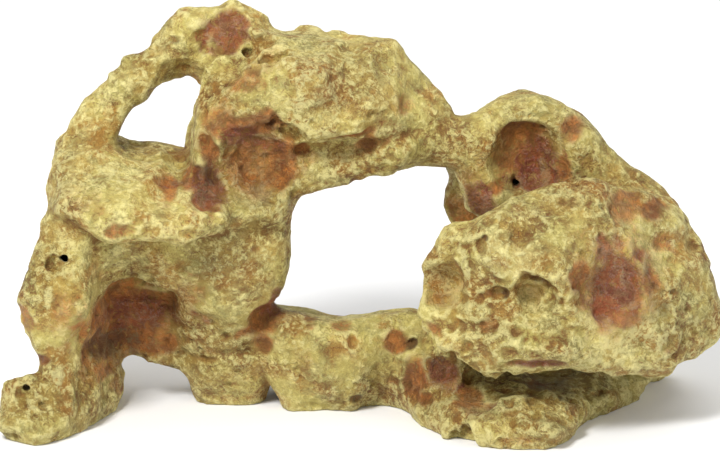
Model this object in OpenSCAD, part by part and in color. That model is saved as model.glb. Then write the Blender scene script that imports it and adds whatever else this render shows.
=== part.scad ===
// Resin cave ornament: a hollow rock arch, bonded up from separate cast rocks.
//
// Every rock is a few rounded lumps. A lump is the hull of some balls, each written
// [x, y, z, radius], in the coordinates of the nominal ornament. +X runs along the
// ornament, +Y runs to its back, +Z is up, and the ground is z = 0.
// Rocks are bonded in the order of ROCKS: each one is coped round all those before it.

/* [Overall size] */
// Length of the ornament along X
ornament_length = 360; // [240:1:480]
// Depth of the ornament along Y
ornament_depth = 154; // [120:1:200]
// Height of the ornament along Z
ornament_height = 204; // [150:1:270]

/* [Casting] */
// Thickness of the cast resin skin
wall = 5; // [3.5:0.1:6.5]
// Thickness of the bond line between two rocks
bond_gap = 0.3; // [0.2:0.05:0.6]
// Facets round each ball outside
skin_facets = 16; // [14:2:20]
// Facets round each ball of the hollow core
core_facets = 6; // [6:2:12]

/* [Vent holes] */
// Diameter of the drilled holes that let air out of the hollow rocks
vent_d = 4; // [2.5:0.5:6]
// Depth that each vent is drilled to
vent_depth = 34; // [28:1:44]

/* [Hidden] */

// The size at which the coordinates below were laid out.
nominal = [360, 154, 204];
stretch = [ornament_length / nominal.x, ornament_depth / nominal.y, ornament_height / nominal.z];
function at(p) = [p.x * stretch.x, p.y * stretch.y, p.z * stretch.z];

// Balls centred lower than this stand on the ground, and the core runs down out of them.
foot_z = 12;
core_drop = 40;
// Side of the block that stands for the ground, larger than any ornament.
ground_side = 1000;

// ---- The rocks, as lumps of balls -------------------------------------------------

front_boulder_lumps = [
    // Nose beside the main window
    [[38, -48, 86, 11], [37, -50, 68, 11], [44, -52, 56, 11], [66, -58, 46, 11],
     [66, -50, 103, 11], [52, -46, 99, 11], [62, -30, 72, 11]],
    // Middle
    [[62, -50, 103, 12], [80, -46, 110, 12], [102, -34, 114, 12], [70, -60, 49, 12],
     [106, -62, 48, 12], [100, -62, 90, 12], [78, -16, 64, 12], [98, -8, 98, 12],
     [100, -12, 58, 12]],
    // Right flank
    [[100, -60, 92, 13], [116, -30, 116, 13], [136, -22, 108, 13], [151, -6, 99, 13],
     [160, -12, 84, 13], [164, -26, 66, 13], [167, -24, 50, 13], [146, -44, 39, 13],
     [112, -60, 47, 13], [132, -56, 82, 13], [150, 0, 60, 13], [128, 2, 98, 13], [110, -4, 60, 13]]
];

left_boulder_lumps = [
    // Bulge with the overhanging lip
    [[-146, -6, 130, 11], [-147, -14, 118, 11], [-142, -36, 118, 11], [-120, -48, 110, 11],
     [-92, -48, 109, 11], [-76, -40, 112, 11], [-124, -20, 122, 11], [-92, -14, 119, 11]],
    // Body behind it
    [[-144, 0, 128, 12], [-140, 24, 124, 12], [-94, 26, 112, 12], [-84, 0, 114, 12],
     [-138, 10, 108, 12], [-110, -20, 112, 12]]
];

crest_boulder_lumps = [
    // Left block
    [[-46, 2, 190, 9], [-55, 9, 189, 9], [-63, -8, 173, 9], [-62, -13, 162, 9], [-30, -26, 149, 9],
     [-22, -24, 178, 9], [-12, 8, 184, 9], [-26, 28, 182, 9], [-55, 24, 172, 9], [-30, 24, 152, 9]],
    // Right block
    [[-24, -22, 178, 9], [12, 12, 178, 9], [-27, -25, 150, 9], [-6, -21, 154, 9], [5, -15, 160, 9],
     [20, 14, 168, 9], [-12, 28, 178, 9], [14, 28, 160, 9], [-20, 28, 150, 9], [28, 14, 158, 9],
     [38, 10, 147, 9]],
    // Band over the main window
    [[-36, -12, 120, 10], [-10, -11, 128, 10], [18, -8, 136, 10], [-34, 20, 124, 10],
     [18, 20, 138, 10], [-20, 0, 145, 10], [12, 0, 146, 10]]
];

pocket_rock_lumps = [
    // Mass that holds the large pocket
    [[-78, -30, 116, 10], [-42, -24, 113, 10], [-40, -18, 126, 10], [-66, -14, 156, 10],
     [-42, -16, 148, 10], [-72, 16, 156, 10], [-44, 22, 148, 10], [-76, 22, 120, 10],
     [-42, 22, 112, 10]],
    // Post beside the small window
    [[-67, 6, 170, 9], [-74, 0, 134, 9], [-66, 26, 170, 9], [-76, 26, 132, 9], [-56, 10, 166, 9]]
];

back_rock_lumps = [
    // Frame of the round pocket
    [[58, 8, 138, 10], [74, 10, 147, 10], [88, 10, 147, 10], [105, 8, 138, 10], [104, 2, 104, 10],
     [62, 2, 108, 10], [64, 26, 138, 10], [82, 30, 144, 10], [104, 32, 132, 10], [84, 36, 106, 10]],
    // Right shoulder
    [[105, 6, 136, 11], [117, 8, 120, 11], [132, 8, 104, 11], [154, 6, 92, 11], [160, 8, 76, 11],
     [110, 6, 98, 11], [116, 36, 108, 11], [146, 36, 80, 11]],
    // Wall down to the ground
    [[138, 10, 96, 10], [162, 6, 76, 10], [162, 14, 48, 10], [148, 38, 6, 10], [132, 44, 6, 10],
     [132, 44, 76, 10], [154, 36, 50, 10], [142, 20, 40, 10]]
];

right_ledge_lumps = [
    // Toe under the front boulder
    [[46, -54, 5, 8], [60, -64, 5, 8], [78, -69, 5, 8], [92, -69, 5, 8], [102, -50, 5, 8],
     [112, -28, 5, 8], [30, -24, 5, 8], [50, -52, 13, 8], [90, -57, 12, 8], [60, -16, 14, 8],
     [104, -16, 13, 8]],
    // Floor plate of the chamber
    [[31, -20, 5, 9], [28, 8, 5, 9], [36, 56, 5, 9], [100, 68, 5, 9], [134, 50, 5, 9],
     [138, 4, 5, 9], [112, -26, 5, 9], [38, 4, 18, 9], [92, 44, 14, 9], [124, 8, 14, 9]],
    // Shoulder beside the lower bridge
    [[22, -6, 8, 9], [22, -8, 30, 9], [38, -12, 34, 9], [44, -30, 28, 9], [30, 16, 30, 9],
     [24, 16, 8, 9], [44, -34, 6, 9]],
    // Post that carries the nose of the front boulder
    [[38, -12, 34, 9], [46, -26, 26, 9], [52, -22, 60, 9], [62, -12, 60, 9], [58, -4, 22, 9],
     [40, 0, 26, 9]]
];

left_leg_lumps = [
    // Upper half, with the spur
    [[-146, -26, 112, 10], [-147, -28, 95, 10], [-159, -36, 65, 10], [-157, -34, 55, 10],
     [-152, -38, 42, 10], [-144, -42, 62, 10], [-141, -32, 96, 10], [-140, 0, 104, 10],
     [-146, 6, 52, 10], [-134, -6, 46, 10]],
    // Lower half
    [[-152, -38, 42, 9], [-151, -46, 26, 9], [-148, -46, 5, 9], [-140, -36, 5, 9],
     [-127, -13, 5, 9], [-125, 6, 5, 9], [-129, 2, 30, 9], [-134, -8, 42, 9], [-148, 8, 8, 9],
     [-150, 4, 42, 9]],
    // Back of the leg
    [[-146, 4, 104, 10], [-148, 8, 8, 10], [-128, 4, 6, 10], [-144, 44, 6, 10], [-130, 46, 6, 10],
     [-142, 34, 100, 10], [-132, 30, 40, 10]],
    // Toe
    [[-172, -54, 5, 8], [-161, -60, 5, 8], [-150, -52, 5, 8], [-171, -50, 22, 8],
     [-163, -54, 23, 8], [-155, -44, 24, 8], [-166, -38, 8, 8], [-146, -40, 8, 8]]
];

window_arch_lumps = [
    [[-132, 8, 138, 13], [-142, 4, 135, 11], [-129, 10, 149, 13]],
    [[-129, 10, 149, 13], [-117, 13, 163, 11]],
    [[-117, 13, 163, 11], [-104, 15, 172, 10]],
    [[-104, 15, 172, 10], [-94, 16, 183, 11], [-88, 24, 178, 11]]
];

rear_crest_lumps = [
    [[-92, 17, 186, 10], [-82, 20, 191, 10], [-62, 22, 194, 10], [-50, 24, 191, 10],
     [-86, 24, 176, 10], [-64, 22, 168, 10], [-50, 32, 176, 10], [-72, 34, 180, 10]]
];

bridge_neck_lumps = [
    [[12, 2, 137, 12], [40, 8, 136, 12], [14, 20, 138, 12], [40, 20, 136, 12]],
    [[38, 8, 136, 12], [62, 8, 134, 12], [40, 20, 136, 12], [64, 22, 132, 12]]
];

centre_pillar_lumps = [
    // Upper half, under the large pocket
    [[-46, -13, 104, 11], [-45, -13, 86, 11], [-50, -11, 66, 11], [-64, -18, 62, 11],
     [-76, -24, 104, 11], [-78, -12, 62, 11], [-58, 22, 104, 11], [-78, 20, 64, 11],
     [-54, 18, 66, 11]],
    // Lower half
    [[-52, -8, 52, 11], [-66, -14, 60, 11], [-80, -6, 58, 11], [-74, 6, 8, 11], [-58, 6, 8, 11],
     [-52, 0, 30, 11], [-64, 34, 8, 11], [-60, 22, 60, 11], [-78, 18, 50, 11]]
];

lower_bridge_lumps = [
    // Left half
    [[-46, -6, 42, 10], [-34, -11, 40, 10], [-16, -12, 38, 10], [-28, -5, 8, 10],
     [-4, -8, 8, 10], [-44, 18, 36, 10], [-12, 20, 30, 10], [-28, 24, 8, 10], [0, 22, 8, 10]],
    // Right half
    [[-16, -12, 38, 10], [6, -12, 38, 10], [26, -8, 42, 10], [-8, -6, 8, 10], [14, 2, 8, 10],
     [-10, 22, 8, 10], [16, 22, 8, 10], [26, 16, 36, 10], [-12, 20, 30, 10]]
];

rear_pillar_lumps = [
    [[52, 22, 116, 11], [51, 22, 99, 11], [61, 26, 80, 11], [78, 34, 112, 11], [76, 36, 80, 11]],
    [[61, 26, 80, 11], [66, 28, 40, 11], [60, 28, 16, 11], [82, 40, 16, 11], [76, 36, 80, 11]]
];

cave_wall_lumps = [
    // Left half
    [[-142, 6, 106, 8], [-112, 5, 106, 8], [-142, 10, 40, 8], [-128, 8, 28, 8], [-112, 6, 31, 8],
     [-142, 26, 100, 8], [-112, 26, 100, 8], [-128, 24, 30, 8], [-112, 24, 34, 8]],
    // Right half
    [[-112, 5, 106, 8], [-84, 4, 106, 8], [-112, 6, 31, 8], [-98, 5, 30, 8], [-84, 5, 22, 8],
     [-112, 26, 100, 8], [-84, 26, 100, 8], [-98, 24, 34, 8], [-84, 24, 26, 8]],
    // Brow over the cave, left and right
    [[-140, -24, 100, 9], [-112, -27, 98, 9], [-142, -22, 71, 9], [-112, -17, 82, 9],
     [-142, 0, 70, 8], [-112, 4, 82, 8], [-140, 6, 102, 8], [-112, 6, 102, 8]],
    [[-112, -27, 98, 9], [-82, -24, 98, 9], [-112, -17, 82, 9], [-82, -18, 72, 9],
     [-112, 4, 82, 8], [-82, 2, 72, 8], [-112, 6, 102, 8], [-84, 6, 102, 8]]
];

ROCKS = [
    ["front_boulder", front_boulder_lumps], ["left_boulder", left_boulder_lumps],
    ["crest_boulder", crest_boulder_lumps], ["pocket_rock", pocket_rock_lumps],
    ["back_rock", back_rock_lumps], ["right_ledge", right_ledge_lumps],
    ["left_leg", left_leg_lumps], ["window_arch", window_arch_lumps],
    ["rear_crest", rear_crest_lumps], ["bridge_neck", bridge_neck_lumps],
    ["centre_pillar", centre_pillar_lumps], ["lower_bridge", lower_bridge_lumps],
    ["rear_pillar", rear_pillar_lumps], ["cave_wall", cave_wall_lumps]
];

// Balls scooped out of the outside: [x, y, z, radius].
pockets = [
    [-52, -40, 135, 24],  // large pocket over the pillar
    [-75, -46, 126, 11],  // small pocket beside it
    [84, -14, 132, 24],   // round pocket in the back rock
    [-70, -6, 188, 17],   // hollow under the rear crest
    [131, -88, 86, 30],   // wide dish in the front boulder
    [70, -72, 82, 8],     // crater pair
    [86, -74, 82, 12],
    [42, -66, 82, 14],    // shallow square pit on the nose
    [40, -46, 38, 18],    // hollow in the ledge
    [-14, -36, 34, 17],   // shallow dish in the lower bridge
    [-47, -24, 50, 12]    // crevice beside the pillar
];

// Drilled vents: [x, y, z] at the mouth. Each one runs straight back, from this far in front.
vents = [[77, -14, 117], [-168, -64, 24], [-152, -46, 86]];
vent_lead = 10;

// ---- Shapes -----------------------------------------------------------------------

// One lump: the hull of its balls, each grown by grow, or shrunk where grow is negative.
module lump(balls, grow, facets) {
    hull() for (b = balls) translate(at(b)) sphere(r = b[3] + grow, $fn = facets);
}

module rock(lumps, grow = 0) {
    for (balls = lumps) lump(balls, grow, skin_facets);
}

module pocket_balls(grow = 0) {
    for (p = pockets) translate(at(p)) sphere(r = p[3] + grow, $fn = 2 * skin_facets);
}

module vent_holes() {
    for (v = vents) translate(at(v) - [0, vent_lead, 0]) rotate([-90, 0, 0])
        cylinder(d = vent_d, h = vent_depth, $fn = skin_facets);
}

// The hollow inside the whole ornament: every lump shrunk by the wall, left solid
// behind each pocket, and run on down through the ground under the base rocks.
module core() {
    difference() {
        for (r = ROCKS) for (balls = r[1]) {
            lump(balls, -wall, core_facets);
            hull() for (b = balls) if (b.z < foot_z) {
                translate(at(b)) sphere(r = b[3] - wall, $fn = core_facets);
                translate(at(b) - [0, 0, core_drop]) sphere(r = b[3] - wall, $fn = core_facets);
            }
        }
        pocket_balls(wall);
    }
}

module ground() {
    translate([-ground_side / 2, -ground_side / 2, -ground_side]) cube(ground_side);
}

// The place of a rock in the order of bonding.
function place(name) = search([name], ROCKS)[0];

// One rock, coped round all the rocks before it and hollowed.
module casting(name) {
    difference() {
        rock(ROCKS[place(name)][1]);
        for (i = [0 : 1 : place(name) - 1]) rock(ROCKS[i][1], bond_gap);
        pocket_balls();
        core();
        vent_holes();
        ground();
    }
}

module front_boulder() { color("#cfc083") casting("front_boulder"); }
module left_boulder() { color("#c6b26c") casting("left_boulder"); }
module crest_boulder() { color("#ccbe76") casting("crest_boulder"); }
module pocket_rock() { color("#a8764a") casting("pocket_rock"); }
module back_rock() { color("#c2a86a") casting("back_rock"); }
module right_ledge() { color("#a79657") casting("right_ledge"); }
module left_leg() { color("#bfae6c") casting("left_leg"); }
module window_arch() { color("#c4b26a") casting("window_arch"); }
module rear_crest() { color("#9c6a52") casting("rear_crest"); }
module bridge_neck() { color("#bda95f") casting("bridge_neck"); }
module centre_pillar() { color("#b7a769") casting("centre_pillar"); }
module lower_bridge() { color("#c3b272") casting("lower_bridge"); }
module rear_pillar() { color("#84563a") casting("rear_pillar"); }
module cave_wall() { color("#8b643d") casting("cave_wall"); }

front_boulder();
left_boulder();
crest_boulder();
pocket_rock();
back_rock();
right_ledge();
left_leg();
window_arch();
rear_crest();
bridge_neck();
centre_pillar();
lower_bridge();
rear_pillar();
cave_wall();
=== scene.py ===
# %% [markdown]
# # A resin cave ornament
# This lesson dresses a fish-tank ornament: a hollow rock arch bonded up from cast rocks.
# The frame gives the rocks as plain faceted castings. The real ones carry a weathered stone
# skin, their joints are filled and faired, and the whole is painted as one piece. So the skin
# is worked out once for the whole arch, as a field of distances, and parted into castings last.

import math
from collections import namedtuple

import bpy
import numpy as np
import openvdb
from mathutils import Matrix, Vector


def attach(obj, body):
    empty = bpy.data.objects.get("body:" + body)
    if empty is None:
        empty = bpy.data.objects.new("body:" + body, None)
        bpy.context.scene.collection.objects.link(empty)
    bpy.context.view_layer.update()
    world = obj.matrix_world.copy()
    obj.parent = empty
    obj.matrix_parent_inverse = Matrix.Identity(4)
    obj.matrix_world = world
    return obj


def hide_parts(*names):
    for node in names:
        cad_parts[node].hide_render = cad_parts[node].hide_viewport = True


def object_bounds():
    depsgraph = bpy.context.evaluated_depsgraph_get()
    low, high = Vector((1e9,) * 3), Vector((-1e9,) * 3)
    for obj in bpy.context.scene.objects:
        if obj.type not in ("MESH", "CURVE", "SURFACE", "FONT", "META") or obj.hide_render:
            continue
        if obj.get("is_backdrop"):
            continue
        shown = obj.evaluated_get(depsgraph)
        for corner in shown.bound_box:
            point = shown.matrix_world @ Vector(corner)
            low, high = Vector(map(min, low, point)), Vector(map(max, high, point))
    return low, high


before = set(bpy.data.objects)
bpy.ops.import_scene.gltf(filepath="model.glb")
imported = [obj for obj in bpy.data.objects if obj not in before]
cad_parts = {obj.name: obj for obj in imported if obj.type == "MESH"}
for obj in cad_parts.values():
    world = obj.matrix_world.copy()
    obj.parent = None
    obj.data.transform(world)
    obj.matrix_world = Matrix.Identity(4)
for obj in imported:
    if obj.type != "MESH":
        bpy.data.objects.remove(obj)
cad_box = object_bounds()
rocks = sorted(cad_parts)
size_mm = (cad_box[1] - cad_box[0]) * 1000
print(len(rocks), "castings, mm:", [round(v, 1) for v in size_mm])

# %% [markdown]
# ## A grid over the ornament
# Rock has no outline to draw, so it could be sculpted by hand, or displaced with noise. Both
# leave the creases between two castings sharp. A grid that holds the distance to the nearest
# skin at each of its points blends, rounds and cuts solids with plain sums, so the creases
# fill like faired joints. Working in millimetres keeps the numbers readable.

# %% The grid
PITCH = 1.06    # mm between grid points
MARGIN = 14     # mm of air kept round the ornament
REACH = 12.0    # mm, how far from a skin a distance is still measured

low_mm = np.array(cad_box[0]) * 1000 - MARGIN
grid_size = tuple(int(math.ceil(v / PITCH)) + 1 for v in np.array(size_mm) + 2 * MARGIN)
axes_mm = [low_mm[a] + PITCH * np.arange(grid_size[a]) for a in range(3)]
print("grid", grid_size, "points:", round(math.prod(grid_size) / 1e6, 1), "million")


def layer_at(height):
    """Number of the grid's layer at a height in mm."""
    return int(round((height - low_mm[2]) / PITCH))


def block(low, high):
    """The slices of the grid that hold a box given by its corners in mm."""
    first = np.floor((np.array(low) - low_mm) / PITCH).astype(int)
    last = np.ceil((np.array(high) - low_mm) / PITCH).astype(int) + 1
    return tuple(slice(max(f, 0), min(l, n)) for f, l, n in zip(first, last, grid_size))


def distance_to(rock):
    """A block of the grid round a casting, and the distances in mm from its skin there."""
    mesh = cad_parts[rock].data
    mesh.calc_loop_triangles()
    places = np.empty(len(mesh.vertices) * 3, np.float32)
    mesh.vertices.foreach_get("co", places)
    places = places.reshape(-1, 3) * 1000
    corners = np.empty(len(mesh.loop_triangles) * 3, np.int32)
    mesh.loop_triangles.foreach_get("vertices", corners)
    where = block(places.min(0) - REACH, places.max(0) + REACH)
    start = np.array([s.start for s in where])
    cells = (places - low_mm) / PITCH - start
    level = openvdb.FloatGrid.createLevelSetFromPolygons(
        cells.astype(np.float32), triangles=corners.reshape(-1, 3).astype(np.uint32),
        transform=openvdb.createLinearTransform(1.0), halfWidth=REACH / PITCH)
    dense = np.empty([s.stop - s.start for s in where], np.float32)
    level.copyToArray(dense)
    return where, dense * PITCH


# %% [markdown]
# ## One skin from all the castings
# Each casting's distances are blended into the ones before. The blend rounds a crease to
# about the radius of the filler that a maker smooths in with a wet finger. The nearest and
# second nearest castings are noted on the way, because the bond line runs between them.

# %% Blend the castings
FILLER = 6.0    # mm, radius of the filler in a crease

skin = np.full(grid_size, REACH, np.float32)
nearest = np.full(grid_size, REACH, np.float32)
second = np.full(grid_size, REACH, np.float32)
owner = np.full(grid_size, 255, np.uint8)


def smooth_min(a, b, k):
    """The smaller of two distances, rounded where they are within k of each other."""
    h = np.clip(0.5 + 0.5 * (b - a) / k, 0, 1)
    return b + (a - b) * h - k * h * (1 - h)


for number, rock in enumerate(rocks):
    where, d = distance_to(rock)
    both_near = (skin[where] < REACH - 0.1) & (d < REACH - 0.1)
    skin[where] = np.where(both_near, smooth_min(skin[where], d, FILLER), np.minimum(skin[where], d))
    closer = d < nearest[where]
    second[where] = np.where(closer, nearest[where], np.minimum(second[where], d))
    owner[where][closer] = number
    nearest[where] = np.where(closer, d, nearest[where])
print("skin from", round(float(skin.min()), 1), "to", round(float(skin.max()), 1), "mm")

# %% [markdown]
# ## Inside and outside
# The castings are hollow, and open underneath. Weathering belongs on the outside only, and a
# 5 mm wall would be eaten through if both its faces moved. Outside air is found by filling:
# it starts at the edge of the grid and spreads through every gap wider than a vent, and what
# it never reaches is the hollow. A grid twice as coarse is fine enough for that.

# %% Find the hollow
COARSE = 2          # grid points to one coarse point
VENT_STOP = 2.2     # mm, air doesn't spread closer than this to a skin
FLOOR_STOP = 1.5    # mm, or below this height
FOOT = 5.0          # mm, below this height the rocks run straight down


def spread(mask):
    """A mask grown by one point along each axis."""
    grown = mask.copy()
    for axis in range(3):
        a = np.moveaxis(grown, axis, 0)
        m = np.moveaxis(mask, axis, 0)
        a[1:] |= m[:-1]
        a[:-1] |= m[1:]
    return grown


foot_layer = layer_at(FOOT)
air = skin[::COARSE, ::COARSE, ::COARSE] > VENT_STOP
above_floor = axes_mm[2][::COARSE] > FLOOR_STOP
air &= above_floor
outside = np.zeros_like(air)
outside[0] = air[0]
reached = 0
while outside.sum() > reached:
    reached = int(outside.sum())
    for _ in range(8):
        outside = spread(outside) & air
hollow = spread(spread(air & ~outside))
first_layer = int(np.argmax(above_floor))
hollow[:, :, :first_layer] = hollow[:, :, first_layer:first_layer + 1]
for axis in range(3):
    hollow = np.repeat(hollow, COARSE, axis)
hollow = hollow[:grid_size[0], :grid_size[1], :grid_size[2]]
skin[:, :, :foot_layer] = skin[:, :, foot_layer:foot_layer + 1]
emptiness = np.where(hollow, skin, -REACH)
print("hollow:", round(float((emptiness > 0).sum()) * PITCH ** 3 / 1e6, 2), "litres")

# %% [markdown]
# ## The mass of the rock
# With the hollow filled, the arch is one solid mass. Its distances are measured again, so
# that a point deep inside knows how far the outside is and not how far the old hollow was.
# The feet are sawn flat, so the layers near the ground repeat the one just above them. A
# running average then rounds every arris and crease, as a thousand years of water would.

# %% Fill, measure and round the mass
ROUND = 1       # grid points to each side in the running average


def mesh_of(field, start=(0, 0, 0)):
    """Points, in grid units, and four-sided faces of a block of distances, at its zero level."""
    level = openvdb.FloatGrid(float(field.max()))
    level.copyFromArray(field)
    points, _, quads = level.convertToPolygons(isovalue=0.0, adaptivity=0.0)
    return points + np.array(start), quads


def average(field, reach):
    """A running average over a cube that reaches this many grid points each way."""
    for axis in range(3):
        total = np.cumsum(np.pad(field, [(reach + 1, reach) if a == axis else (0, 0) for a in range(3)],
                                 mode="edge"), axis=axis, dtype=np.float32)
        a = np.moveaxis(total, axis, 0)
        n = 2 * reach + 1
        field = np.moveaxis((a[n:] - a[:-n]) / n, 0, axis)
    return np.ascontiguousarray(field, dtype=np.float32)


points, quads = mesh_of(np.ascontiguousarray(np.where(hollow, -REACH, skin)))
level = openvdb.FloatGrid.createLevelSetFromPolygons(
    points.astype(np.float32), quads=quads.astype(np.uint32),
    transform=openvdb.createLinearTransform(1.0), halfWidth=REACH / PITCH)
mass = np.empty(grid_size, np.float32)
level.copyToArray(mass)
mass = average(mass * PITCH, ROUND)
mass[:, :, :foot_layer] = mass[:, :, foot_layer:foot_layer + 1]
print("mass:", round(float((mass < 0).sum()) * PITCH ** 3 / 1e6, 2), "litres, down to",
      round(float(mass.min()), 1), "mm deep")

# %% [markdown]
# ## Weathering the skin
# Limestone weathers in scallops: shallow hollows that meet in sharp, wandering ridges. Summed
# noise gives them. Blender's own noise would have to be asked for at every point, so a random
# lattice is smoothed with a cubic spline along each axis in turn instead: three matrix
# products fill the whole grid, and the seed makes the rock the same each time.

# %% Weather the skin
def spline_weights(places, spacing):
    """Cubic spline weights of a lattice's points, at places in mm along one axis."""
    u = (places - places[0]) / spacing + 1
    i = np.floor(u).astype(int)
    t = u - i
    weights = np.zeros((len(places), i[-1] + 3), np.float32)
    rows = np.arange(len(places))
    weights[rows, i - 1] = (1 - t) ** 3 / 6
    weights[rows, i] = (3 * t ** 3 - 6 * t ** 2 + 4) / 6
    weights[rows, i + 1] = (-3 * t ** 3 + 3 * t ** 2 + 3 * t + 1) / 6
    weights[rows, i + 2] = t ** 3 / 6
    return weights


def noise(spacing, seed, stretch=(1, 1, 1)):
    """Smooth noise on the whole grid, about -2 to 2, with this spacing in mm between its lumps."""
    wx, wy, wz = (spline_weights(axes_mm[a], spacing * stretch[a]) for a in range(3))
    lattice = np.random.default_rng(seed).standard_normal(
        (wx.shape[1], wy.shape[1], wz.shape[1])).astype(np.float32)
    field = np.tensordot(wx, np.tensordot(wy, np.tensordot(lattice, wz, (2, 1)), (1, 1)), (1, 1))
    return field / field.std()


def scallops(field):
    """Turns noise into rounded hollows between sharp ridges, about -1 to 0.8."""
    return 0.8 - np.abs(field)


TUCK = 4.0          # mm that the rocks draw in at the ground
TUCK_HEIGHT = 15.0  # mm, below which they do

rough = np.clip(0.75 + 0.45 * noise(40, 7), 0.25, 1.4)
relief = 1.6 * noise(34, 1)
relief += 2.0 * scallops(noise(17, 2))
relief += rough * (0.9 * scallops(noise(8.5, 3)) + 0.6 * noise(5, 4))
relief += (0.2 + 0.5 * rough) * scallops(noise(3, 5))
bedding = scallops(noise(9, 9, (2.6, 2.6, 0.5)))
relief += 1.1 * np.clip(0.35 + noise(48, 10), 0, 1.2) * bedding
above_ground = np.clip(1 - np.maximum(axes_mm[2], 0) / TUCK_HEIGHT, 0, 1).astype(np.float32)
relief -= TUCK * above_ground ** 2
print("relief from", round(float(relief.min()), 1), "to", round(float(relief.max()), 1), "mm")
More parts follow.
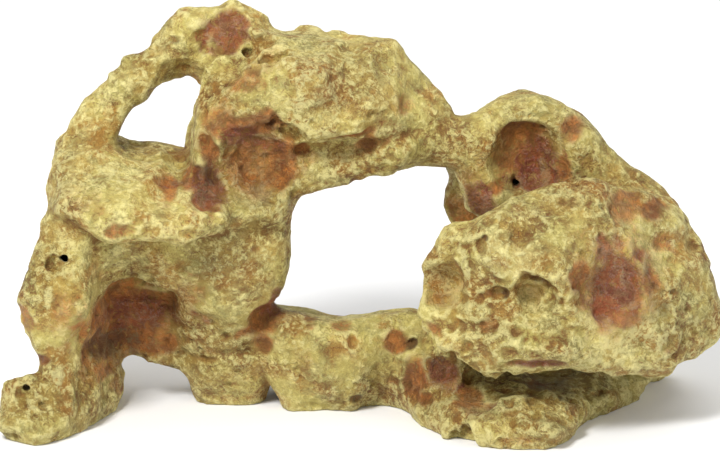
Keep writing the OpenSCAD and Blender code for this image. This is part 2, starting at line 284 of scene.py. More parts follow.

# %% [markdown]
# ## Marks made by hand
# Noise makes stone in general, but not this stone: on the model that the moulds are taken
# from, the sculptor has pushed in each crater, slot and shallow dish, and built up knobs, and
# the painter has stained most of them. Some rows are painted light and not stain: a dark
# brown that is painted shade in the pits, the alcove and the gap under the front boulder, and
# a pale cream that is pale paint in the pockets and painted highlight on the knobs. One list
# serves all of it, and it is judged mark by mark, as the sculptor would. Each row gives a place
# in mm, to the right of the middle of the front view and above it, then the mark's width and
# height in mm, its tilt in degrees, its depth in mm (below 0 it stands out), a stain or the
# painted light, and its strength.

# %% The marks
Mark = namedtuple("Mark", "across up wide tall tilt depth stain strength")
MARKS = [Mark(*row) for row in [
    # rear crest and window arch
    (-66, 98, 23, 22, 0, 3.0, "plum", 0.85),
    (-78, 95, 9, 10, 0, 1.5, "rust", 0.65),
    (-93, 93, 9, 6, 0, 1.2, "painted_shade", 0.6),
    (-100, 87, 12, 6, 20, 1.5, "rust", 0.35),
    (-82, 101, 13, 6, 0, -1.5, "chalk_and_highlight", 0.4),
    (-108, 66, 7, 15, -20, -1.2, "chalk_and_highlight", 0.35),
    (-136, 62, 4, 8, 20, 1.0, "rust", 0.5),
    (-121, 75, 10, 7, 0, 1.2, "rust", 0.25),
    # left boulder
    (-108, 33, 6, 6, 0, 1.0, "rust", 0.45),
    (-95, 22, 9, 21, 10, 1.5, "rust", 0.9),
    (-125, 26, 20, 15, 20, -1.5, "chalk_and_highlight", 0.45),
    (-138, 14, 22, 17, 0, 1.5, "rust", 0.35),
    (-118, -2, 17, 9, 10, 1.8, "rust", 0.6),
    (-110, 3, 9, 5, 20, 1.2, "rust", 0.4),
    (-130, -7, 10, 6, 20, 1.2, "rust", 0.4),
    (-84, -3, 9, 7, 0, 1.5, "rust", 0.4),
    (-96, -2, 6, 5, 0, 1.0, "rust", 0.35),
    (-74, 4, 14, 5, 0, 0.8, "rust", 0.4),
    (-150, 21, 12, 20, 10, 1.0, "moss", 0.5),
    # large pocket
    (-75, 39, 13, 23, 20, 5.0, "rust", 0.85),
    (-69, 50, 25, 22, 0, 1.0, "rust", 0.8),
    (-55, 50, 42, 17, 0, 1.0, "rust", 0.95),
    (-60, 45, 30, 15, -8, 0.8, "plum", 0.8),
    (-38, 34, 19, 31, -10, 2.0, "rust", 0.95),
    (-45, 42, 22, 15, 0, 0.8, "plum", 0.6),
    (-54, 34, 40, 35, 0, 0.5, "rust", 0.75),
    (-54, 15, 23, 10, -8, 0.0, "chalk_and_highlight", 0.75),
    (-62, 25, 8, 17, 0, -1.0, "chalk_and_highlight", 0.5),
    (-75, 20, 21, 22, 0, 4.0, "plum", 0.95),
    (-75, 23, 17, 15, 0, 1.0, "painted_shade", 0.6),
    (-85, 25, 10, 17, 0, 0.0, "rust", 0.8),
    # crest boulder
    (-50, 86, 28, 20, 0, 1.0, "rust", 0.4),
    (-58, 71, 23, 11, 10, 1.5, "rust", 0.65),
    (-52, 78, 20, 8, 0, 0.8, "painted_shade", 0.3),
    (-35, 84, 15, 13, 0, -1.8, "chalk_and_highlight", 0.5),
    (-18, 66, 20, 15, 0, -1.5, "chalk_and_highlight", 0.55),
    (-6, 60, 17, 10, 0, 0.8, "rust", 0.4),
    (-30, 64, 7, 25, -10, -1.2, "chalk_and_highlight", 0.6),
    (-6, 44, 25, 4, 15, 1.8, "rust", 0.75),
    (-9, 35, 22, 11, 15, 1.2, "rust", 0.45),
    (-25, 34, 15, 7, 10, 1.0, "rust", 0.5),
    (10, 79, 15, 15, 0, 1.0, "moss", 0.45),
    # olive face above the pillar
    (-52, -10, 7, 7, 0, 1.2, "rust", 0.55),
    (-72, -19, 30, 15, 0, 1.0, "moss", 0.6),
    (-55, -17, 25, 20, 0, 0.8, "moss", 0.5),
    # leg
    (-166, -45, 9, 14, 20, 1.5, "rust", 0.7),
    (-159, -66, 15, 7, 10, 1.5, "rust", 0.8),
    (-155, -36, 7, 15, -10, -1.5, "chalk_and_highlight", 0.5),
    (-150, -74, 6, 23, 0, -1.5, "chalk_and_highlight", 0.6),
    (-174, -79, 7, 10, 0, 0.8, "rust", 0.3),
    # alcove over the cave
    (-119, -33, 48, 10, 0, 1.5, "rust", 0.8),
    (-102, -37, 31, 15, 0, 1.5, "rust", 0.85),
    (-112, -42, 45, 18, 0, 0.6, "plum", 0.7),
    (-121, -45, 65, 50, 0, 0.0, "rust", 0.95),
    (-124, -59, 30, 16, 0, 1.5, "painted_shade", 1.0),
    (-132, -58, 15, 15, 0, 1.5, "painted_shade", 0.9),
    (-119, -49, 28, 8, 0, 1.0, "plum", 0.7),
    (-104, -57, 26, 15, 0, 1.0, "rust", 0.9),
    (-126, -70, 27, 16, 0, 1.0, "rust", 0.85),
    (-122, -79, 13, 11, 0, 1.0, "rust", 0.65),
    (-148, -40, 13, 21, 0, 1.0, "rust", 0.55),
    (-140, -51, 10, 30, 0, 0.8, "rust", 0.5),
    # centre pillar
    (-76, -66, 11, 4, 10, 1.2, "rust", 0.4),
    (-88, -62, 7, 5, 0, 1.0, "rust", 0.35),
    (-85, -32, 22, 16, 0, 0.8, "rust", 0.5),
    (-80, -51, 15, 15, 0, -1.0, "chalk_and_highlight", 0.35),
    (-48, -43, 19, 24, 0, 2.0, "rust", 0.9),
    (-46, -39, 14, 15, 0, 1.0, "plum", 0.75),
    (-42, -32, 8, 11, 0, 1.0, "plum", 0.8),
    # lower bridge
    (-48, -57, 11, 13, 0, 2.2, "rust", 0.85),
    (-48, -66, 8, 6, 0, 1.0, "rust", 0.35),
    (-9, -49, 12, 6, 0, 2.0, "rust", 0.6),
    (-4, -57, 7, 8, 0, 2.0, "rust", 0.5),
    (-25, -45, 8, 5, 0, 1.2, "rust", 0.4),
    (-18, -73, 3, 3, 0, 1.5, "painted_shade", 0.8),
    (-27, -65, 9, 11, 0, 1.2, "rust", 0.3),
    (-2, -86, 9, 7, 0, 1.5, "painted_shade", 0.8),
    (-30, -59, 7, 12, 10, -1.2, "chalk_and_highlight", 0.5),
    (-10, -79, 20, 10, 0, 0.8, "moss", 0.4),
    # neck
    (4, 42, 12, 10, 0, 2.0, "rust", 0.85),
    (22, 61, 14, 12, 0, 1.2, "rust", 0.55),
    (15, 49, 15, 10, 0, -1.0, "chalk_and_highlight", 0.4),
    # back rock, with its round pocket
    (82, 50, 28, 12, 0, 1.5, "rust", 0.95),
    (82, 52, 22, 7, 0, 1.0, "painted_shade", 0.5),
    (80, 38, 33, 33, 0, 0.5, "rust", 0.9),
    (88, 34, 27, 26, 0, 1.5, "plum", 0.75),
    (86, 25, 27, 17, 0, 1.0, "plum", 0.9),
    (94, 24, 14, 14, 0, 1.0, "plum", 0.85),
    (102, 30, 11, 15, 0, 1.0, "rust", 0.85),
    (92, 28, 5, 17, 10, -0.6, "chalk_and_highlight", 0.7),
    (67, 20, 14, 10, 0, 1.0, "rust", 0.75),
    (88, 57, 20, 4, 0, 0.8, "moss", 0.8),
    (76, 21, 9, 9, 0, 1.0, "painted_shade", 0.5),
    (105, 50, 14, 16, 0, 2.0, "rust", 0.85),
    (113, 33, 11, 8, 0, 0.8, "rust", 0.3),
    (118, 22, 9, 6, 0, 0.8, "rust", 0.4),
    (49, 7, 12, 22, 0, 1.0, "rust", 0.75),
    (60, 13, 15, 23, 0, 1.5, "plum", 0.95),
    (55, 5, 17, 17, 0, 1.5, "rust", 0.85),
    (58, 9, 10, 20, 0, 1.0, "painted_shade", 0.5),
    # front boulder, craters on the left
    (42, -29, 26, 25, 0, 3.0, "rust", 0.5),
    (36, -22, 6, 6, 0, 1.8, "rust", 0.4),
    (46, -31, 11, 8, 0, 1.2, "rust", 0.4),
    (40, -36, 17, 7, 0, 1.0, "rust", 0.65),
    (44, -17, 8, 6, 0, 1.2, "painted_shade", 0.35),
    (60, -10, 8, 13, 10, 3.0, "rust", 0.3),
    (62, -5, 4, 4, 0, 2.5, "painted_shade", 0.9),
    (68, -32, 15, 8, 0, 4.0, "rust", 0.6),
    (72, -33, 5, 6, 0, 3.0, "painted_shade", 0.95),
    (84, -31, 19, 21, 0, 4.5, "rust", 0.5),
    (88, -25, 15, 7, -15, 2.0, "painted_shade", 0.5),
    (37, -51, 13, 8, -30, 1.8, "rust", 0.65),
    (49, -47, 10, 7, 0, 1.6, "rust", 0.4),
    (64, -49, 14, 12, 0, 2.2, "rust", 0.55),
    (78, -52, 9, 7, 0, 1.5, "rust", 0.45),
    (54, -58, 6, 7, 0, 1.4, "rust", 0.4),
    (46, -62, 6, 9, 0, 1.4, "rust", 0.4),
    (74, -61, 12, 7, 0, 1.2, "rust", 0.4),
    (84, -48, 7, 6, 0, 1.5, "rust", 0.4),
    (70, -15, 31, 23, 0, -2.6, "chalk_and_highlight", 0.6),
    (52, -17, 6, 21, 15, -1.8, "chalk_and_highlight", 0.6),
    (48, -15, 6, 4, 0, -1.2, "chalk_and_highlight", 0.6),
    # front boulder, the stained dish and the right
    (127, -30, 30, 35, 0, 1.5, "plum", 0.95),
    (127, -29, 48, 48, 0, 1.0, "rust", 0.75),
    (121, -15, 15, 21, 0, 1.5, "plum", 0.85),
    (110, -23, 13, 16, 0, 1.2, "rust", 0.9),
    (144, -28, 14, 19, 0, 1.5, "rust", 0.95),
    (132, -46, 21, 14, 0, 1.2, "rust", 0.9),
    (134, -9, 7, 18, -10, -1.8, "rust", 0.6),
    (142, -18, 4, 17, -10, -0.8, "chalk_and_highlight", 0.8),
    (129, -24, 4, 25, 10, -0.6, "chalk_and_highlight", 0.5),
    (152, -43, 8, 11, 10, 3.0, "painted_shade", 0.6),
    (156, -32, 7, 4, 0, 2.0, "painted_shade", 0.6),
    (150, -8, 11, 11, 0, 1.2, "rust", 0.8),
    (132, 10, 21, 17, 0, 1.8, "rust", 0.85),
    (146, 8, 16, 12, 0, 1.5, "rust", 0.9),
    (166, -9, 9, 10, 0, 1.2, "rust", 0.4),
    (109, -3, 10, 8, 0, 1.0, "rust", 0.35),
    (102, 12, 12, 7, 0, 0.8, "rust", 0.35),
    (120, -65, 7, 5, 0, 2.0, "painted_shade", 0.45),
    (130, -65, 7, 6, 0, 1.2, "rust", 0.3),
    (134, -75, 2, 2, 0, 1.5, "painted_shade", 0.8),
    (88, -68, 27, 6, 0, 1.5, "plum", 0.85),
    (150, -56, 25, 20, 0, -1.5, "chalk_and_highlight", 0.45),
    (120, -56, 20, 15, 0, 1.0, "moss", 0.4),
    (158, 1, 15, 12, 0, -1.5, "chalk_and_highlight", 0.6),
    # ledge under the front boulder
    (26, -58, 5, 8, -50, 4.0, "painted_shade", 1.0),
    (18, -57, 14, 12, 0, 2.5, "rust", 0.95),
    (42, -72, 22, 15, 0, 1.0, "plum", 0.95),
    (40, -67, 19, 7, 0, 1.0, "painted_shade", 0.6),
    (28, -75, 14, 21, 0, 2.5, "rust", 0.95),
    (32, -85, 15, 8, 0, 1.2, "rust", 0.8),
    (54, -84, 15, 14, 0, 2.5, "rust", 0.95),
    (16, -77, 10, 6, 0, 1.2, "rust", 0.45),
    (94, -94, 7, 11, 0, 1.0, "rust", 0.35),
    (79, -107, 23, 6, 0, 0.8, "rust", 0.5),
    (135, -82, 10, 4, 0, 1.0, "rust", 0.5),
    (84, -86, 5, 10, 0, 0.8, "rust", 0.3),
    (65, -91, 25, 10, 0, -1.2, "chalk_and_highlight", 0.5),
    (100, -78, 35, 9, 0, 1.0, "painted_shade", 0.6),
]]
print(len(MARKS), "marks, the deepest", max(mark.depth for mark in MARKS), "mm")

# %% [markdown]
# ## Carving the marks
# A mark's centre is found on the rock by looking along the front view: the first grid point
# on the line of sight that is stone is the place. Round it the field is pushed in by
# the mark's depth, fading to nothing at its rim. Noise makes the rim wander, because a clean
# ellipse would look stamped.

# %% The front view
VIEW_TILT = math.radians(18)                # how far the front view looks down
VIEW_MIDDLE = np.array([0.5, 0.0, 92.6])    # mm
VIEW_RIGHT = np.array([1.0, 0.0, 0.0])
VIEW_UP = np.array([0.0, math.sin(VIEW_TILT), math.cos(VIEW_TILT)])
VIEW_IN = np.array([0.0, math.cos(VIEW_TILT), -math.sin(VIEW_TILT)])
SIGHT = np.arange(-300, 300, 0.5)           # mm along a line of sight, from the middle


def first_stone(across, up):
    """The place where the line of sight at a place in the front view meets stone, all in mm."""
    line = VIEW_MIDDLE + across * VIEW_RIGHT + up * VIEW_UP + SIGHT[:, None] * VIEW_IN
    cells = np.round((line - low_mm) / PITCH).astype(int)
    inside = ((cells >= 0) & (cells < grid_size)).all(axis=1)
    line, cells = line[inside], cells[inside]
    stone = mass[tuple(cells.T)] < 0
    return line[int(np.argmax(stone))] if stone.any() else np.full(3, np.nan)


centres = [first_stone(mark.across, mark.up) for mark in MARKS]
print("marks that meet stone:", sum(not np.isnan(c[1]) for c in centres))

# %% Carve the marks
WANDER = 0.6        # how much a mark's rim wanders
DEEPER = 1.35       # the marks carve this many times their listed depth
HIGHEST = 3.6       # mm, the relief flattens out as it nears this height
DEEPEST = 7.0       # mm, and this depth

wander = 0.7 * noise(7, 6) + 0.6 * noise(3.5, 8)


def closeness(mark, centre, x, y, z):
    """0 at a mark's centre and 1 at its rim, for places in mm."""
    turn = math.radians(mark.tilt)
    along = ((x - centre[0]) * math.cos(turn) + (z - centre[2]) * math.sin(turn)) / mark.wide
    above = ((z - centre[2]) * math.cos(turn) - (x - centre[0]) * math.sin(turn)) / mark.tall
    behind = (y - centre[1]) / (mark.wide + mark.tall)
    return 4 * (along ** 2 + above ** 2 + 1.2 * behind ** 2)


for mark, centre in zip(MARKS, centres):
    if np.isnan(centre[1]):
        continue
    size = max(mark.wide, mark.tall)
    where = block(centre - size, centre + size)
    x, y, z = np.ix_(*(axes_mm[a][where[a]] for a in range(3)))
    t = closeness(mark, centre, x, y, z) * (1 + WANDER * wander[where] / 2)
    relief[where] -= DEEPER * mark.depth * np.clip(1 - t, 0, 1) ** 1.2
relief = np.where(relief > 0, HIGHEST * np.tanh(relief / HIGHEST), DEEPEST * np.tanh(relief / DEEPEST))
skin = mass - relief
print("carved, relief now from", round(float(relief.min()), 1))

# %% [markdown]
# ## Hollow again
# The castings are poured as shells, to save resin and weight. The old hollow is taken out of
# the weathered mass wherever it is deep enough to leave a wall. The wall is measured from
# the weathered face where a mark is deep, so that no crater breaks through.

# %% Hollow the rock again
WALL = 5.0      # mm of resin under the unweathered face
THIN = 2.8      # mm of resin left at the bottom of the deepest mark

void = np.minimum(emptiness, -np.maximum(mass + WALL, skin + THIN))
inner = np.clip((void + 1.6) / 1.0, 0, 1)
skin = np.maximum(skin, void)
print("resin:", round(float((skin < 0).sum()) * PITCH ** 3 / 1e6, 2), "litres")

# %% [markdown]
# ## Vents
# Air would stay trapped in the hollow rocks, and lift the ornament off the gravel. So the
# maker drills three small holes from the front, into the hollow. A drilled hole is plain: in
# the field it is a round rod taken away, from in front of the rock to well inside it.

# %% Drill the vents
VENT_RADIUS = 2.0   # mm
VENT_REACH = 12.0   # mm drilled in from the face
VENTS = ((78, 21), (-166, -82), (-147, -17))     # mm, right and up on the front view

for across, up in VENTS:
    mouth = first_stone(across, up)
    where = block(mouth - [4, 10, 4], mouth + [4, VENT_REACH, 4])
    x, z = np.ix_(axes_mm[0][where[0]] - mouth[0], axes_mm[2][where[2]] - mouth[2])
    rod = VENT_RADIUS - np.sqrt(x ** 2 + z ** 2)
    skin[where] = np.maximum(skin[where], rod[:, None, :])
    print("vent at", mouth.round(1))

# %% [markdown]
# ## Parting into castings
# The bond line between two castings is where both are equally far away, so each casting is
# the painted skin's inside, cut where another one comes nearer. The cut reaches a hair past
# the bond line, and so the two castings' outsides run together with no groove between them.
# The grid's zero level is meshed by the volume library, into quads that are all closed.

# %% Part the skin and mesh each casting
BOND_LAP = 0.4      # mm that each casting reaches past the bond line

rise = np.broadcast_to(axes_mm[2].astype(np.float32), grid_size)
skin = np.maximum(skin, -rise)


def sample(field, places):
    """Values of a field at places in mm, mixed from the eight grid points round each."""
    u = (places - low_mm) / PITCH
    i = np.clip(np.floor(u).astype(int), 0, np.array(grid_size) - 2)
    t = (u - i).astype(np.float32)
    total = np.zeros(len(places), np.float32)
    for corner in range(8):
        step = np.array([corner & 1, corner >> 1 & 1, corner >> 2])
        share = np.prod(np.where(step, t, 1 - t), axis=1)
        total += share * field[tuple((i + step).T)]
    return total


def largest_body(points, quads):
    """Drops the crumbs that a cut leaves: keeps the body with the most faces."""
    label = np.arange(len(points))
    before = None
    while before is None or (label != before).any():
        before = label.copy()
        np.minimum.at(label, quads, np.repeat(label[quads].min(axis=1), 4).reshape(-1, 4))
        label = label[label]
    quads = quads[label[quads[:, 0]] == np.bincount(label[quads[:, 0]]).argmax()]
    used = np.unique(quads)
    return points[used], np.searchsorted(used, quads)


casting_meshes = {}
for number, rock in enumerate(rocks):
    where, own_distance = distance_to(rock)
    others = np.where(owner[where] == number, second[where], nearest[where])
    cut = (own_distance - others) / 2 - BOND_LAP
    solid = np.ascontiguousarray(np.maximum(skin[where], cut))
    start = np.array([s.start for s in where])
    points, quads = largest_body(*mesh_of(solid, start))
    points = points * PITCH + low_mm
    casting_meshes[rock] = (points, quads)
    print(rock, len(points), "points,", len(quads), "faces")

# %% [markdown]
# ## From points to objects
# Every point of a casting's mesh is given what the paint and the pores will need: which way
# is out, how deep it lies in a hollow, whether it is inside the casting, and how near the
# bond line is. They come from the same field, so they agree across a bond line, where the
# two meshes' own normals would not.

# %% Build the mesh objects
FADE = 3.0      # mm from a bond line over which pores fade out

close_average = average(skin, 2)
wide_average = average(skin, 6)


def outward(places):
    """The direction in which the distance field rises, at places in mm."""
    steps = PITCH * np.eye(3)
    slope = np.stack([sample(skin, places + s) - sample(skin, places - s) for s in steps], axis=1)
    return slope / np.maximum(np.linalg.norm(slope, axis=1, keepdims=True), 1e-6)


def add_attribute(mesh, name, values):
    """Stores one number, or one vector, on each point of a mesh."""
    kind, key = ("FLOAT_VECTOR", "vector") if values.ndim == 2 else ("FLOAT", "value")
    mesh.attributes.new(name, kind, "POINT").data.foreach_set(key, values.astype(np.float32).ravel())


def build(rock, points, quads):
    """A casting's mesh as an object, in metres."""
    mesh = bpy.data.meshes.new(rock + "_skin")
    mesh.vertices.add(len(points))
    mesh.vertices.foreach_set("co", (points / 1000).astype(np.float32).ravel())
    mesh.loops.add(4 * len(quads))
    mesh.loops.foreach_set("vertex_index", quads.astype(np.int32).ravel())
    mesh.polygons.add(len(quads))
    mesh.polygons.foreach_set("loop_start", np.arange(0, 4 * len(quads), 4, dtype=np.int32))
    mesh.update(calc_edges=True)
    add_attribute(mesh, "out", outward(points))
    add_attribute(mesh, "crease", -sample(close_average, points))
    add_attribute(mesh, "dip", -sample(wide_average, points))
    add_attribute(mesh, "inside", np.clip(sample(inner, points) * 2, 0, 1))
    gap = np.abs(sample(second, points) - sample(nearest, points))
    add_attribute(mesh, "open", np.clip(gap / FADE, 0, 1))
    piece = bpy.data.objects.new(rock + "_skin", mesh)
    bpy.context.collection.objects.link(piece)
    return piece


pieces = {rock: build(rock, *casting_meshes[rock]) for rock in rocks}
print(len(pieces), "skins,", sum(len(p.data.polygons) for p in pieces.values()), "faces")

# %% [markdown]
# ## Where the stains and the painted light are
# The painter's stains follow the same list of marks, and so do the painted shade and the
# painted highlights. Their strength is worked out at every point of every mesh and stored as
# one attribute for each colour, so each of them runs on over a bond line from one casting to
# the next without a break.

# %% Store the stains and the painted light
# the stains, with a dark brown that is painted shade and a pale cream that is partly painted highlight
STAINS_AND_PAINTED_LIGHT = ("rust", "plum", "painted_shade", "moss", "chalk_and_highlight")


def stains_and_painted_light_at(places):
    """Strength of each colour among the stains and the painted light, 0 to 1, at places in mm."""
    strengths = {stain: np.zeros(len(places), np.float32) for stain in STAINS_AND_PAINTED_LIGHT}
    rim = 1 + WANDER * sample(wander, places) / 2
    for mark, centre in zip(MARKS, centres):
        if np.isnan(centre[1]):
            continue
        near = np.flatnonzero((np.abs(places - centre) < max(mark.wide, mark.tall) + 4).all(axis=1))
        x, y, z = places[near].T
        t = closeness(mark, centre, x, y, z) * rim[near]
        spot = mark.strength * np.clip(1.2 - t * 0.6, 0, 1) ** 1.3
        kind = strengths[mark.stain]
        kind[near] = np.maximum(kind[near], spot)
    return strengths


for rock, piece in pieces.items():
    for stain, strength in stains_and_painted_light_at(casting_meshes[rock][0]).items():
        add_attribute(piece.data, stain, strength)
print("stains stored:", ", ".join(STAINS_AND_PAINTED_LIGHT))

# %% [markdown]
# ## The painted finish
# The resin is sprayed a pale straw, washed with thin brown that settles in the creases,
# stained with rust, plum and grey-green, and dry-brushed with cream, which only catches the
# edges. The material works in that order. Creases and edges come from the attributes and
# the finest specks from noise, all in the object's own coordinates, so nothing slides.

# %% Helpers for the material
def srgb(r, g, b):
    """A colour as on a paint chip, 0 to 255, in the linear values that a shader takes."""
    return tuple((v / 255 / 12.92 if v < 10.4 else ((v / 255 + 0.055) / 1.055) ** 2.4)
                 for v in (r, g, b)) + (1,)


paint = bpy.data.materials.new("weathered_paint")
paint.use_nodes = True
tree = paint.node_tree
place_node = tree.nodes.new("ShaderNodeTexCoord")


def node(kind, settings=(), **inputs):
    """A node with its settings and inputs; an input is a number, a colour or another socket."""
    made = tree.nodes.new(kind)
    for name, value in dict(settings).items():
        setattr(made, name, value)
    for name, value in inputs.items():
        socket = made.inputs[int(name[1:])] if name[0] == "i" and name[1:].isdigit() else made.inputs[name]
        if isinstance(value, bpy.types.NodeSocket):
            tree.links.new(value, socket)
        else:
            socket.default_value = value
    return made


def speckle(size, detail=3.0, roughness=0.6, distortion=0.0):
    """Noise from 0 to 1 with lumps of this size in mm."""
    made = node("ShaderNodeTexNoise", Vector=place_node.outputs["Object"], Scale=1000 / size,
                Detail=detail, Roughness=roughness, Distortion=distortion)
    return made.outputs["Fac"]


def attribute(name):
    return node("ShaderNodeAttribute", {"attribute_name": name}).outputs["Fac"]


def sums(operation, a, b, clamp=False):
    return node("ShaderNodeMath", {"operation": operation, "use_clamp": clamp}, i0=a, i1=b).outputs[0]


def step(value, low, high, to_low=0.0, to_high=1.0):
    """Rises smoothly from to_low to to_high while the value goes from low to high."""
    made = node("ShaderNodeMapRange", {"interpolation_type": "SMOOTHSTEP"}, Value=value)
    for name, v in (("From Min", low), ("From Max", high), ("To Min", to_low), ("To Max", to_high)):
        made.inputs[name].default_value = v
    return made.outputs["Result"]


def over(below, colour, amount):
    """Paints a colour over another by an amount from 0 to 1."""
    return node("ShaderNodeMix", {"data_type": "RGBA"}, i0=amount, i6=below, i7=colour).outputs[2]


print("material", paint.name)

# %% [markdown]
# The first coat is sprayed on and covers everything, mould to mould: a dull straw yellow that
# drifts to ochre in some places and to olive in others, because it goes on in two or three
# passes that are never quite even. Lumps of noise from 8 to 34 mm across stand for the passes.

# %% Straw ground
crease, dip = attribute("crease"), attribute("dip")
patch, cloud = speckle(34, 4), speckle(13, 5)
knobs, grain, fleck = speckle(5, 5, 0.65, 0.6), speckle(2.4, 5, 0.7, 0.8), speckle(1.2, 4, 0.7)
colour = over(srgb(206, 190, 104), srgb(190, 160, 78), step(patch, 0.4, 0.6))
colour = over(colour, srgb(150, 142, 84), step(cloud, 0.48, 0.64, 0, 0.6))
colour = over(colour, srgb(188, 132, 50), step(speckle(19, 5), 0.5, 0.64, 0, 0.75))
colour = over(colour, srgb(226, 212, 134), step(speckle(8, 5), 0.5, 0.64, 0, 0.5))

print("ground coat: straw, ochre, olive and cream")

# %% [markdown]
# The stains make the hollows look deep and old. They are dabbed on with a wet brush, rust
# first and plum over it, so a plum heart has a rust rim. The darkest brown is painted shade:
# it darkens the pits, the alcove and the gap under the front boulder, where light does not
# reach. A dab on rough stone dries with a grainy edge, so each stored strength is broken up
# with noise before it is laid over the ground. Pale veins cross the plum where it has pulled
# back from the ridges while drying.

# %% Stains and painted shade
def centred(value, weight):
    """Noise turned to swing about 0, times a weight."""
    return sums("MULTIPLY", sums("SUBTRACT", value, 0.5), weight)


calm = step(speckle(38, 3), 0.42, 0.58, 0.75, 1.5)
ragged = sums("ADD", centred(knobs, 1.5), centred(grain, 1.7))


def blotch(name, low=0.22, high=0.9):
    """The strength of a colour from the list of stains and painted light, with a ragged and grainy edge."""
    strength = attribute(name)
    rough = sums("MULTIPLY", ragged, step(strength, 0.0, 0.2))
    return step(sums("ADD", strength, rough), low, high)


rusty = over(srgb(196, 112, 42), srgb(140, 72, 28), step(speckle(7, 5), 0.38, 0.6))
plummy = over(srgb(120, 48, 36), srgb(160, 76, 42), step(speckle(9, 5), 0.4, 0.6))
vein = step(sums("ABSOLUTE", sums("SUBTRACT", speckle(9, 6, 0.65), 0.5), 0.0), 0.0, 0.03, 1.0, 0.0)
plummy = over(plummy, srgb(186, 168, 166), sums("MULTIPLY", vein, 0.25))
deep = step(dip, 0.8, 2.6)
colour = over(colour, srgb(132, 130, 84), sums("MULTIPLY", blotch("moss"), 0.5))
colour = over(colour, rusty, sums("MULTIPLY", deep, 0.45))
colour = over(colour, rusty, sums("MULTIPLY", blotch("rust"), 0.85))
colour = over(colour, plummy, sums("MULTIPLY", blotch("plum", 0.2, 0.95), 0.9))
# painted shade: dark brown in the pits, the alcove and the gap under the front boulder, where they lie in
# shade
colour = over(colour, srgb(76, 46, 30), sums("MULTIPLY", blotch("painted_shade", 0.2, 0.95), 0.75))
print("stains laid over the ground")

# %% [markdown]
# A thin brown wash is brushed over the whole rock and wiped off again. It stays in pits,
# creases and hairline cracks, and that is what makes the small relief readable from a
# distance. Here it follows the stored creases, blurred by grain, and a fine net of cracks.

# %% Brown wash in the creases
settled = sums("ADD", crease, sums("MULTIPLY", dip, 0.15))
uneven = sums("MULTIPLY", sums("ADD", centred(grain, 3.2), centred(knobs, 3.0)), calm)
settled = sums("SUBTRACT", settled, uneven)
wash = sums("MULTIPLY", step(settled, -0.35, 0.7), step(speckle(26, 4), 0.4, 0.6, 0.35, 1.0))
colour = over(colour, srgb(134, 88, 32), sums("MULTIPLY", wash, 0.88))
colour = over(colour, srgb(104, 66, 30), sums("MULTIPLY", attribute("pore"), 0.6))
crackle = step(sums("ABSOLUTE", sums("SUBTRACT", speckle(4.5, 5, 0.6, 1.2), 0.5), 0.0), 0.0, 0.035, 1.0, 0.0)
crackle = sums("MULTIPLY", crackle, step(speckle(21, 4), 0.45, 0.6, 0.1, 0.8))
colour = over(colour, srgb(120, 62, 22), sums("MULTIPLY", crackle, 0.92))
flecks = sums("MULTIPLY", step(fleck, 0.58, 0.68), step(patch, 0.4, 0.6, 0.2, 0.8))
colour = over(colour, srgb(112, 68, 28), flecks)
print("wash settled in creases, pores and cracks")

# %% [markdown]
# Last comes the dry brush. Nearly dry cream is dragged across the rock and catches only what
# stands out, less of it where a stain or the painted shade should stay dark. The inside of the
# shell is never painted and keeps the grey-buff of bare resin. A matt lacquer seals it all, so
# the sheen is low and a little uneven. Grain under a millimetre high is left to bump, as a mesh
# fine enough to hold it would be many times larger.

# %% Dry brush and sheen
uneven = sums("MULTIPLY", sums("ADD", centred(grain, 3.2), centred(knobs, 2.2)), calm)
edge = sums("SUBTRACT", uneven, crease)
# the dry brush is held back where a stain or the painted shade lies
stained_or_shaded = sums("MAXIMUM", sums("MAXIMUM", attribute("plum"), attribute("painted_shade")), attribute("rust"))
brushed = sums("MULTIPLY", step(edge, 0.0, 0.75), step(stained_or_shaded, 0.2, 0.9, 0.8, 0.12))
colour = over(colour, srgb(246, 233, 156), brushed)
# pale cream: pale paint in the pockets, and painted highlight on the knobs that catch the light
colour = over(colour, srgb(222, 212, 152), sums("MULTIPLY", blotch("chalk_and_highlight"), 0.3))
colour = over(colour, srgb(168, 156, 122), step(attribute("inside"), 0.3, 0.9))
shader = tree.nodes["Principled BSDF"]
tree.links.new(colour, shader.inputs["Base Color"])
tree.links.new(step(grain, 0.3, 0.7, 0.66, 0.5), shader.inputs["Roughness"])
lumps = sums("MULTIPLY", sums("ADD", centred(knobs, 1.7), centred(grain, 1.3)), calm)
height = sums("ADD", lumps, centred(fleck, 0.5))
bump = node("ShaderNodeBump", Height=height, Strength=1.0, Distance=0.0024)
tree.links.new(bump.outputs["Normal"], shader.inputs["Normal"])
print("nodes in the paint:", len(tree.nodes))

# %% [markdown]
# ## Pores
# The stone that the mould was taken from is full of pores a few millimetres wide, too many to
# place by hand. Geometry Nodes scatter them: points are dealt out over the outside, more of
# them in some patches than in others, each with its own radius. Every vertex then finds its
# nearest point and sinks, along the stored way out, by what a bowl of that radius would take.
# Nothing is instanced, so the skins stay closed, and a fixed seed keeps the pores in place.

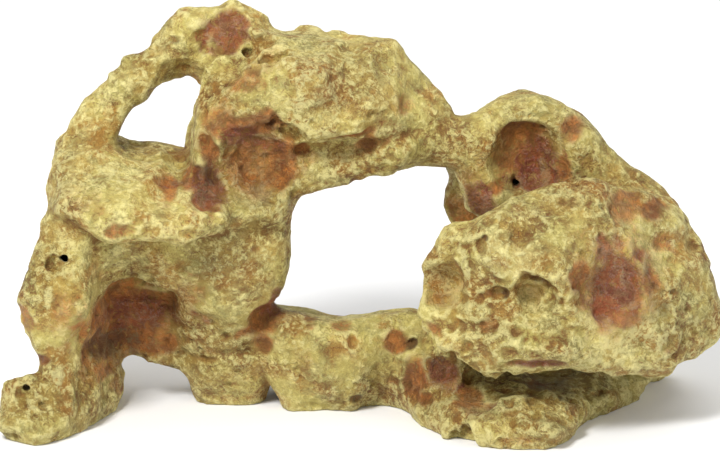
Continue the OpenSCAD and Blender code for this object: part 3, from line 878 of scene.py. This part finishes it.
# %% The pore tree
def pore_tree():
    """Geometry nodes that press pores into a skin."""
    group = bpy.data.node_groups.new("pores", "GeometryNodeTree")
    face = group.interface
    face.new_socket("Geometry", in_out="INPUT", socket_type="NodeSocketGeometry")
    for name, kind in (("Density", "NodeSocketFloat"), ("Smallest", "NodeSocketFloat"),
                       ("Largest", "NodeSocketFloat"), ("Depth", "NodeSocketFloat"),
                       ("Patches", "NodeSocketFloat"), ("Seed", "NodeSocketInt"),
                       ("Paint", "NodeSocketMaterial")):
        face.new_socket(name, in_out="INPUT", socket_type=kind)
    face.new_socket("Geometry", in_out="OUTPUT", socket_type="NodeSocketGeometry")

    def add(kind, settings=(), **inputs):
        made = group.nodes.new(kind)
        for name, value in dict(settings).items():
            setattr(made, name, value)
        for name, value in inputs.items():
            key = int(name[1:]) if name[0] == "i" and name[1:].isdigit() else name.replace("_", " ")
            if isinstance(value, bpy.types.NodeSocket):
                group.links.new(value, made.inputs[key])
            else:
                made.inputs[key].default_value = value
        return made

    def maths(operation, a, b):
        return add("ShaderNodeMath", {"operation": operation}, i0=a, i1=b).outputs[0]

    given = add("NodeGroupInput").outputs
    where = add("GeometryNodeInputPosition").outputs[0]
    stored = {name: add("GeometryNodeInputNamedAttribute", {"data_type": kind}, Name=name).outputs[0]
              for name, kind in (("open", "FLOAT"), ("inside", "FLOAT"), ("out", "FLOAT_VECTOR"))}
    patches = add("ShaderNodeTexNoise", Vector=where, Scale=given["Patches"], Detail=2.0)
    patchy = add("ShaderNodeMapRange", Value=patches.outputs["Fac"], From_Min=0.4, From_Max=0.65)
    bare = maths("SUBTRACT", stored["open"], maths("MULTIPLY", stored["inside"], 4.0))
    share = maths("MULTIPLY", patchy.outputs[0], maths("GREATER_THAN", bare, 0.9))
    points = add("GeometryNodeDistributePointsOnFaces", Mesh=given["Geometry"], Seed=given["Seed"],
                 Density=maths("MULTIPLY", given["Density"], share)).outputs["Points"]
    radius = add("FunctionNodeRandomValue", {"data_type": "FLOAT"}, i2=given["Smallest"],
                 i3=given["Largest"], Seed=given["Seed"]).outputs[1]
    points = add("GeometryNodeStoreNamedAttribute", Geometry=points, Name="radius",
                 Value=radius).outputs[0]
    nearest_point = add("GeometryNodeSampleNearest", Geometry=points).outputs[0]
    centre = add("GeometryNodeSampleIndex", {"data_type": "FLOAT_VECTOR"}, Geometry=points,
                 Value=where, Index=nearest_point).outputs[0]
    own_radius = add("GeometryNodeInputNamedAttribute", {"data_type": "FLOAT"}, Name="radius").outputs[0]
    reach = add("GeometryNodeSampleIndex", {"data_type": "FLOAT"}, Geometry=points,
                Value=own_radius, Index=nearest_point).outputs[0]
    away = add("ShaderNodeVectorMath", {"operation": "DISTANCE"}, i0=where, i1=centre).outputs["Value"]
    bowl = add("ShaderNodeMapRange", {"interpolation_type": "SMOOTHSTEP"}, Value=away,
               From_Min=0.0, From_Max=reach, To_Min=1.0, To_Max=0.0).outputs[0]
    bowl = maths("MULTIPLY", bowl, maths("GREATER_THAN", bare, 0.3))
    sink = maths("MULTIPLY", maths("MULTIPLY", bowl, reach), given["Depth"])
    offset = add("ShaderNodeVectorMath", {"operation": "SCALE"}, i0=stored["out"],
                 Scale=maths("MULTIPLY", sink, -1.0)).outputs[0]
    moved = add("GeometryNodeSetPosition", Geometry=given["Geometry"], Offset=offset).outputs[0]
    noted = add("GeometryNodeStoreNamedAttribute", Geometry=moved, Name="pore", Value=bowl).outputs[0]
    smooth = add("GeometryNodeSetShadeSmooth", Geometry=noted).outputs[0]
    real = add("GeometryNodeRealizeInstances", Geometry=smooth).outputs[0]
    painted = add("GeometryNodeSetMaterial", Geometry=real, Material=given["Paint"]).outputs[0]
    add("NodeGroupOutput", Geometry=painted)
    return group


pores = pore_tree()
print("pore tree:", len(pores.nodes), "nodes")

# %% Press the pores in
PORES = {"Density": 9000.0, "Smallest": 0.0012, "Largest": 0.0030, "Depth": 0.55,
         "Patches": 28.0, "Seed": 4, "Paint": paint}     # metres, and pores to a square metre


def press_pores(piece):
    """Runs the pore tree on a skin and keeps the result as a plain mesh."""
    modifier = piece.modifiers.new("pores", "NODES")
    modifier.node_group = pores
    for item in pores.interface.items_tree:
        if item.in_out == "INPUT" and item.name in PORES:
            modifier[item.identifier] = PORES[item.name]
    seen = piece.evaluated_get(bpy.context.evaluated_depsgraph_get())
    plain = bpy.data.meshes.new_from_object(seen)
    piece.modifiers.remove(modifier)
    bare, piece.data = piece.data, plain
    bpy.data.meshes.remove(bare)
    plain.name = piece.name


for piece in pieces.values():
    press_pores(piece)
print("pored skins:", len(pieces), "with", [a.name for a in piece.data.attributes if a.name == "pore"])

# %% [markdown]
# ## Joined to the design
# The ornament is bonded into one rigid body, so every skin rides on the root. Each skin takes
# the place of its own plain casting, and all of them wear the one paint.

# %% Ride on the body
for rock, piece in pieces.items():
    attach(piece, "root")
    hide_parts(rock)

print(len(pieces), "skins ride on the root")

# %% [markdown]
# ## Floor, light and camera
# A pale floor and soft boxes, as for a catalogue picture: one key from the upper left, a
# wide fill from the right, a wide one above and behind, and a bright surround. The camera
# stands far off with a long lens, so the rocks keep their proportions, and looks down 18
# degrees, which shows the top faces and leaves the windows open.

# %% Floor
def studio_floor():
    mesh = bpy.data.meshes.new("floor")
    s = 6.0
    mesh.from_pydata([(-s, -s, 0), (s, -s, 0), (s, s, 0), (-s, s, 0)], [], [(0, 1, 2, 3)])
    floor = bpy.data.objects.new("floor", mesh)
    bpy.context.collection.objects.link(floor)
    mat = bpy.data.materials.new("studio_floor")
    mat.use_nodes = True
    b = mat.node_tree.nodes["Principled BSDF"]
    b.inputs["Base Color"].default_value = (0.9, 0.9, 0.9, 1)
    b.inputs["Roughness"].default_value = 0.9
    mesh.materials.append(mat)
    return floor


studio_floor()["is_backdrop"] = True
print("floor laid")


# %% Light
def lamp(name, place, aim, size, watts):
    """A square soft box, aimed at a point."""
    light = bpy.data.lights.new(name, "AREA")
    light.size = size
    light.energy = watts
    holder = bpy.data.objects.new(name, light)
    holder.location = place
    holder.rotation_euler = (Vector(aim) - Vector(place)).to_track_quat("-Z", "Y").to_euler()
    bpy.context.collection.objects.link(holder)


middle = (0.0, 0.0, 0.09)
lamp("key", (-0.7, -1.1, 1.5), middle, 0.5, 38)
lamp("fill", (1.3, -1.0, 0.8), middle, 1.4, 8)
lamp("top", (0.2, 0.6, 1.8), middle, 1.4, 13)
world = bpy.data.worlds.new("studio")
world.use_nodes = True
world.node_tree.nodes["Background"].inputs["Color"].default_value = (1, 1, 1, 1)
world.node_tree.nodes["Background"].inputs["Strength"].default_value = 0.46
bpy.context.scene.world = world
bpy.context.scene.view_settings.view_transform = "Standard"
print("lamps: key, fill, top and a bright surround")

# %% Camera
shown_width = 0.360
camera_data = bpy.data.cameras.new("camera")
camera_data.lens = 600
camera_data.sensor_width = 36
distance = shown_width * camera_data.lens / camera_data.sensor_width
back = Vector((-VIEW_IN).tolist())
camera = bpy.data.objects.new("camera", camera_data)
camera.location = Vector((VIEW_MIDDLE / 1000).tolist()) + back * distance
camera.rotation_euler = (-back).to_track_quat("-Z", "Y").to_euler()
camera_data.clip_end = 50
bpy.context.collection.objects.link(camera)
bpy.context.scene.camera = camera
print("camera", round(distance, 1), "m off,", round(math.degrees(VIEW_TILT)), "degrees up")

# %% [markdown]
# ## The two boxes
# The skins must stay in the box of the design, so both boxes are printed.

# %% The two boxes
boxes = [[list(c) for c in box] for box in (cad_box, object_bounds())]
for name, box in zip(("design", "finished"), boxes):
    print(name, "box in mm:", (1000 * np.array(box)).round(1).tolist())
